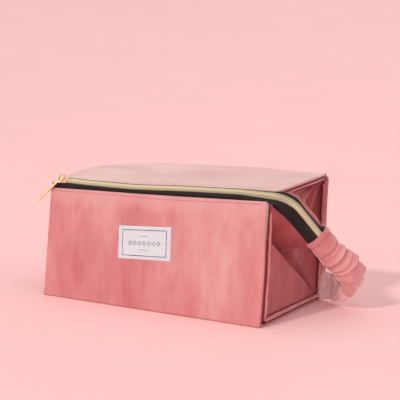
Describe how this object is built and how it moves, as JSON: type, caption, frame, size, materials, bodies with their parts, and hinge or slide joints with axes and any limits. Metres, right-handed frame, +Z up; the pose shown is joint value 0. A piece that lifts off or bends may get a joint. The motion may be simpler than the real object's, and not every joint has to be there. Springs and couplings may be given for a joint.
{
  "type": "makeup bag",
  "caption": "Soft box makeup bag: velvet over stiff panels that fold flat, a zip along the front top edge with slider and pull, end gussets and a gathered side strap.",
  "frame": {"origin": "centre of the bottom panel's outer face, on the surface that the bag stands on", "axes": "+X along the bag towards the strap, -Y out of the front with the label, +Z up"},
  "size_m": [0.3048, 0.1425, 0.124],
  "materials": {
    "velvet": "dusty pink short-pile velvet, nap in soft vertical patches",
    "lid_velvet": "dusty pink short-pile velvet, paler where the pile faces up",
    "gusset_velvet": "dusty pink short-pile velvet, unstiffened",
    "strap_velvet": "dusty pink velvet gathered into crosswise folds",
    "lining": "plain woven black lining",
    "board": "grey stiffening board",
    "zip_tape": "black woven zip tape",
    "zip_teeth": "pale gold metallised coil",
    "metal": "polished rose-gold plate",
    "label": "off-white damask label with a thin navy frame",
    "elastic": "woven elastic"
  },
  "bodies": {
    "base": {"bottom_velvet": "velvet", "bottom_board": "board", "bottom_lining": "lining", "right_lower_gusset": "gusset_velvet", "right_upper_gusset": "gusset_velvet", "left_lower_gusset": "gusset_velvet", "left_upper_gusset": "gusset_velvet", "tail_front_tape": "zip_tape", "tail_back_tape": "zip_tape", "tail_teeth": "zip_teeth", "zip_bottom_stop": "metal", "strap_sleeve": "strap_velvet", "strap_elastic": "elastic", "strap_anchor": "strap_velvet"},
    "front": {"front_velvet": "velvet", "front_board": "board", "front_lining": "lining", "woven_label": "label", "front_zip_tape": "zip_tape", "front_zip_teeth": "zip_teeth", "zip_top_stop": "metal"},
    "back": {"back_velvet": "velvet", "back_board": "board", "back_lining": "lining"},
    "lid": {"lid_velvet": "lid_velvet", "lid_board": "board", "lid_lining": "lining", "lid_zip_tape": "zip_tape", "lid_zip_teeth": "zip_teeth"},
    "slider": {"slider_body": "metal", "slider_bail": "metal"},
    "pull": {"zip_pull": "metal"}
  },
  "joints": [
    {"name": "front_fold", "type": "hinge", "parent": "base", "child": "front", "pos_m": [0, -0.0675, 0], "axis": [1, 0, 0], "range_deg": [0, 95]},
    {"name": "back_fold", "type": "hinge", "parent": "base", "child": "back", "pos_m": [0, 0.0675, 0], "axis": [-1, 0, 0], "range_deg": [0, 86]},
    {"name": "lid_fold", "type": "hinge", "parent": "back", "child": "lid", "pos_m": [0, 0.075, 0.124], "axis": [-1, 0, 0], "range_deg": [0, 97]},
    {"name": "slider_slide", "type": "slide", "parent": "front", "child": "slider", "axis": [1, 0, 0], "range_m": [0, 0.221]},
    {"name": "pull_swing", "type": "hinge", "parent": "slider", "child": "pull", "pos_m": [-0.1075, -0.0544, 0.11556], "axis": [0, -0.9915, 0.1297], "range_deg": [-70, 130]}
  ]
}
